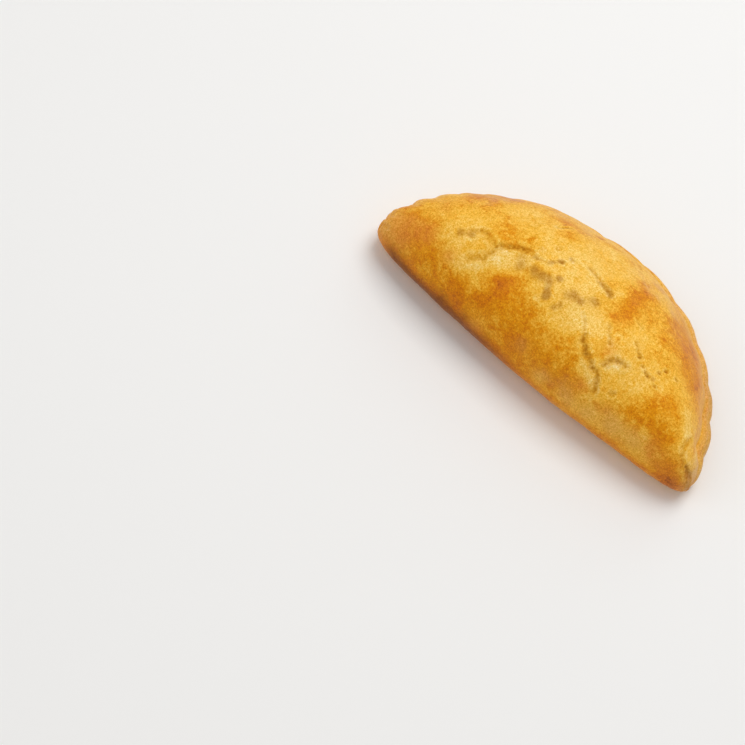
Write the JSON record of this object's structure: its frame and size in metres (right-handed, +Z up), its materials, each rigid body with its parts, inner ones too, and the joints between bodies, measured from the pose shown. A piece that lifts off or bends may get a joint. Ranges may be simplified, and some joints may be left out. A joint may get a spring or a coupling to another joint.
{
  "type": "empanada",
  "caption": "Baked half-moon pastry folded over its filling, with a plump smooth dome, a rounded fold and a narrow crimped rim; lies flat on its base.",
  "frame": {"origin": "middle of the bounding box in X and Y, on the flat underside", "axes": "+X along the fold towards the tip whose last crimp is tucked over, +Y from the fold towards the crimped rim, +Z up"},
  "size_m": [0.1408, 0.0704, 0.034],
  "materials": {
    "baked_crust": "golden baked shortcrust, matt with a faint egg-wash sheen, browned at the tips, the rim and a few spots"
  },
  "bodies": {
    "root": {"empanada": "baked_crust"}
  },
  "joints": []
}
